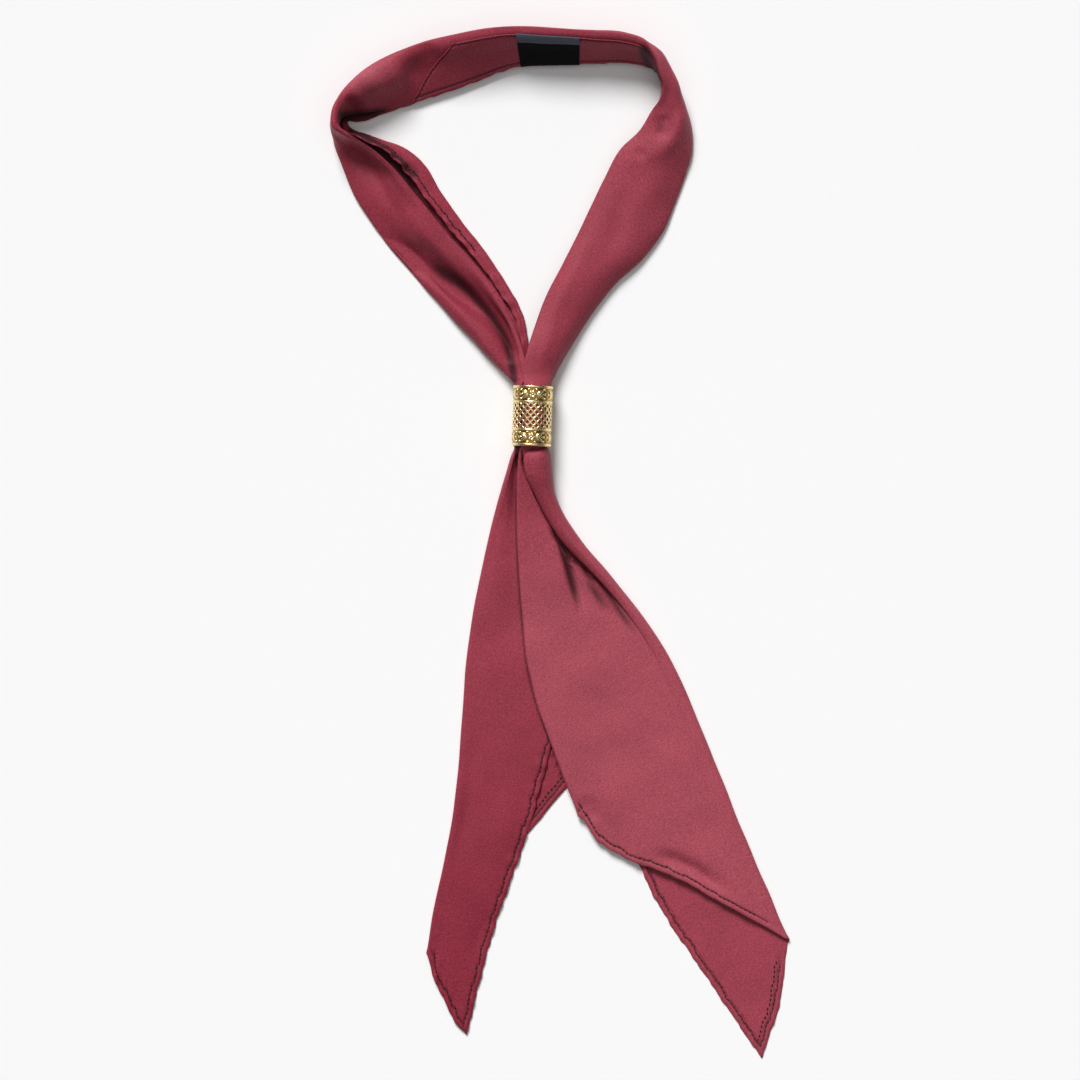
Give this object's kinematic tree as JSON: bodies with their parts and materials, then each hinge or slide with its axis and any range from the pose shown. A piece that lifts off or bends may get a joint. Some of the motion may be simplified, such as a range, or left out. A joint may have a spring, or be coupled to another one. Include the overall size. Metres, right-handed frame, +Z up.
{
  "type": "scarf tie",
  "caption": "Satin crepe scarf tie laid flat: a folded strip looped for a neck, with both pointed ends drawn through a gold openwork slide ring.",
  "frame": {"origin": "under the middle of the outline, on the surface that the tie lies on", "axes": "+Y from the tails to the neckband, +X to the right as seen from above with the neckband at the top, +Z up from the surface"},
  "size_m": [0.2288, 0.5126, 0.0248],
  "materials": {
    "satin_crepe": "burgundy satin crepe with a soft sheen",
    "label_black": "black woven satin label, bare",
    "ring_gold": "polished pale gold plate"
  },
  "bodies": {
    "root": {"left_leg": "satin_crepe", "neckband": "satin_crepe", "right_leg": "satin_crepe", "left_tail": "satin_crepe", "right_tail": "satin_crepe", "neck_facing": "satin_crepe", "neck_label": "label_black", "slide_ring": "ring_gold"}
  },
  "joints": []
}
